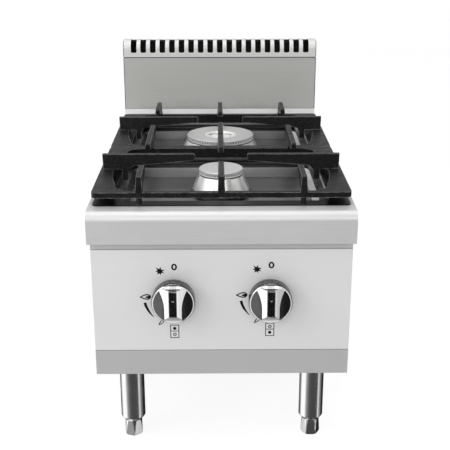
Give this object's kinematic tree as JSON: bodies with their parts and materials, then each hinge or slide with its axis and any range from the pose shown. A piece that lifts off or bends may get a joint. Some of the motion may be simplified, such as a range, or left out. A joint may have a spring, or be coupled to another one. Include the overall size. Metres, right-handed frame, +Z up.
{
  "type": "two-burner gas hotplate",
  "caption": "Bench gas hotplate in stainless steel with cast-iron grates over open burners, round control knobs, a slotted rear flue and adjustable legs.",
  "frame": {"origin": "on the bench, under the middle of the overall box, which runs from the front of the knobs to the end of the gas inlet", "axes": "+X to the user's right when facing the control panel, +Y to the back, +Z up"},
  "size_m": [0.4, 0.749, 0.558],
  "materials": {
    "stainless": "brushed",
    "stainless_light": "brushed, paler",
    "plated_sheet": "zinc plated",
    "polished_tray": "polished",
    "chromed": "bright",
    "knob_insert": "dark, glossy",
    "enamelled_iron": "black enamel",
    "burner_alloy": "cast, satin",
    "gas_brass": "machined",
    "black_pipe": "black",
    "ceramic": "glazed ceramic"
  },
  "bodies": {
    "body": {"top_frame": "stainless", "side_panel_left": "stainless", "side_panel_right": "stainless", "base_pan": "plated_sheet", "kick_rail": "stainless", "front_cross_rail": "stainless", "control_panel": "stainless_light", "rear_panel": "stainless", "rear_screws": "chromed", "flue_front": "stainless", "flue_shell": "stainless", "vent_cover": "stainless_light", "leg_front_left": "chromed", "leg_front_right": "chromed", "leg_rear_left": "chromed", "leg_rear_right": "chromed", "leg_bolts": "chromed", "spill_tray_front": "polished_tray", "spill_tray_rear": "polished_tray", "burner_base_front": "burner_alloy", "burner_head_front": "burner_alloy", "burner_base_rear": "burner_alloy", "burner_head_rear": "burner_alloy", "mixer_front": "enamelled_iron", "mixer_rear": "enamelled_iron", "injector_front": "gas_brass", "injector_rear": "gas_brass", "burner_rail_front": "plated_sheet", "burner_rail_rear": "plated_sheet", "heat_shield": "plated_sheet", "gas_manifold": "black_pipe", "inlet_fitting": "gas_brass", "valve_left": "burner_alloy", "valve_right": "burner_alloy", "valve_clamps": "burner_alloy", "supply_tube_left": "gas_brass", "supply_tube_right": "gas_brass", "tube_nuts": "gas_brass", "spark_electrode_front": "ceramic", "spark_electrode_rear": "ceramic", "thermocouple_front": "gas_brass", "thermocouple_rear": "gas_brass"},
    "grate_front_body": {"grate_front": "enamelled_iron"},
    "grate_rear_body": {"grate_rear": "enamelled_iron"},
    "cap_front_body": {"burner_cap_front": "burner_alloy"},
    "cap_rear_body": {"burner_cap_rear": "burner_alloy"},
    "push_left_body": {"push_rod_left": "gas_brass"},
    "knob_left_body": {"knob_left": "chromed", "knob_inserts_left": "knob_insert", "valve_stem_left": "chromed"},
    "push_right_body": {"push_rod_right": "gas_brass"},
    "knob_right_body": {"knob_right": "chromed", "knob_inserts_right": "knob_insert", "valve_stem_right": "chromed"},
    "foot_front_left_body": {"foot_front_left": "chromed"},
    "foot_front_right_body": {"foot_front_right": "chromed"},
    "foot_rear_left_body": {"foot_rear_left": "chromed"},
    "foot_rear_right_body": {"foot_rear_right": "chromed"}
  },
  "joints": [
    {"name": "grate_front_lift", "type": "slide", "parent": "body", "child": "grate_front_body", "axis": [0, 0, 1], "range_m": [0, 0.12]},
    {"name": "grate_rear_lift", "type": "slide", "parent": "body", "child": "grate_rear_body", "axis": [0, 0, 1], "range_m": [0, 0.12]},
    {"name": "cap_front_lift", "type": "slide", "parent": "body", "child": "cap_front_body", "axis": [0, 0, 1], "range_m": [0, 0.06]},
    {"name": "cap_rear_lift", "type": "slide", "parent": "body", "child": "cap_rear_body", "axis": [0, 0, 1], "range_m": [0, 0.018]},
    {"name": "knob_left_push", "type": "slide", "parent": "body", "child": "push_left_body", "axis": [0, 1, 0], "range_m": [0, 0.004], "stiffness_N_per_m": 1500, "springref_m": -0.002},
    {"name": "knob_left_turn", "type": "hinge", "parent": "push_left_body", "child": "knob_left_body", "pos_m": [-0.073, -0.3395, 0.2575], "axis": [0, -1, 0], "range_deg": [0, 150]},
    {"name": "knob_right_push", "type": "slide", "parent": "body", "child": "push_right_body", "axis": [0, 1, 0], "range_m": [0, 0.004], "stiffness_N_per_m": 1500, "springref_m": -0.002},
    {"name": "knob_right_turn", "type": "hinge", "parent": "push_right_body", "child": "knob_right_body", "pos_m": [0.073, -0.3395, 0.2575], "axis": [0, -1, 0], "range_deg": [0, 150]},
    {"name": "foot_front_left_height", "type": "slide", "parent": "body", "child": "foot_front_left_body", "axis": [0, 0, -1], "range_m": [0, 0.02]},
    {"name": "foot_front_right_height", "type": "slide", "parent": "body", "child": "foot_front_right_body", "axis": [0, 0, -1], "range_m": [0, 0.02]},
    {"name": "foot_rear_left_height", "type": "slide", "parent": "body", "child": "foot_rear_left_body", "axis": [0, 0, -1], "range_m": [0, 0.02]},
    {"name": "foot_rear_right_height", "type": "slide", "parent": "body", "child": "foot_rear_right_body", "axis": [0, 0, -1], "range_m": [0, 0.02]}
  ]
}
